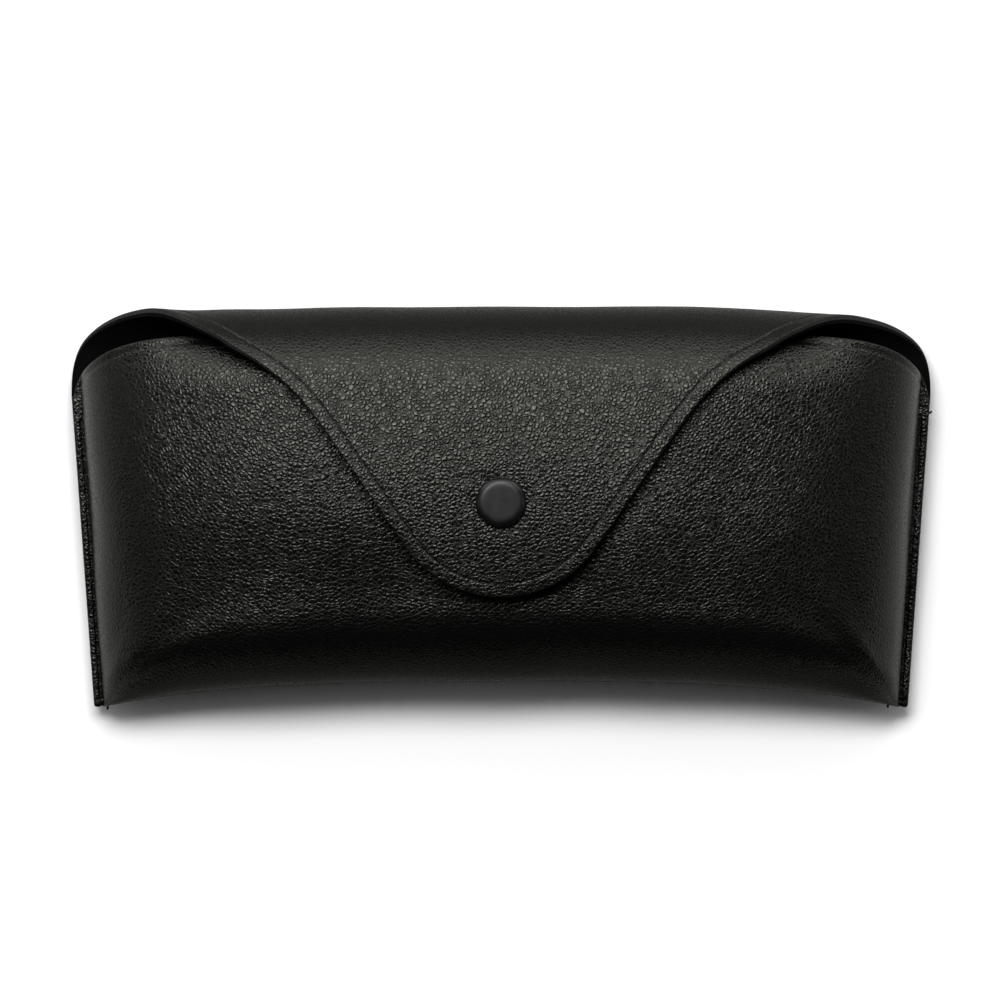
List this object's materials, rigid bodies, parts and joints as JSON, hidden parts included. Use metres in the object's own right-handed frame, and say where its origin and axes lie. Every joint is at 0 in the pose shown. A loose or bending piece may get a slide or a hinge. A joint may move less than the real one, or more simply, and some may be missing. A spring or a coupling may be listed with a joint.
{
  "type": "soft pouch glasses case",
  "caption": "Soft leatherette glasses pouch with a bulging front, rolled top fold and a bell-shaped flap that closes on a press stud.",
  "frame": {"origin": "middle of the bounding box at the plane that the case lies on, under its back", "axes": "+X across the width to the right seen from the front, +Y up towards the rolled top fold, +Z out of the front face"},
  "size_m": [0.1708, 0.0793, 0.0384],
  "materials": {
    "leather": "satin pebble grain",
    "lining": "brushed microfibre",
    "thread": "bonded polyester thread",
    "black_metal": "satin black enamel on brass",
    "spring_steel": "bright wire",
    "patch": "matte fibre board"
  },
  "bodies": {
    "pouch": {"pouch_leather": "leather", "pouch_lining": "lining", "side_seam_thread_left": "thread", "side_seam_thread_right": "thread", "mouth_hem_thread": "thread", "snap_stud": "black_metal", "stud_rivet": "black_metal", "stud_patch": "patch"},
    "back_fold": {"back_fold_leather": "leather", "back_fold_lining": "lining"},
    "top_fold": {"top_fold_leather": "leather", "top_fold_lining": "lining", "top_fold_edge_thread": "thread"},
    "flap": {"flap_leather": "leather", "flap_lining": "lining", "flap_edge_thread": "thread", "snap_cap": "black_metal", "snap_socket": "black_metal", "snap_spring": "spring_steel", "flap_snap_patch": "patch"}
  },
  "joints": [
    {"name": "back_bend", "type": "hinge", "parent": "pouch", "child": "back_fold", "pos_m": [0, 0.03342, 0.00409], "axis": [-1, 0, 0], "range_deg": [0, 60]},
    {"name": "top_bend", "type": "hinge", "parent": "back_fold", "child": "top_fold", "pos_m": [0, 0.03908, 0.02203], "axis": [-1, 0, 0], "range_deg": [0, 60]},
    {"name": "flap_lift", "type": "hinge", "parent": "top_fold", "child": "flap", "pos_m": [0, 0.02521, 0.03473], "axis": [-1, 0, 0], "range_deg": [0, 70]}
  ],
  "couplings": [
    {"joint": "top_bend", "follows": "back_bend", "ratio": 1}
  ]
}
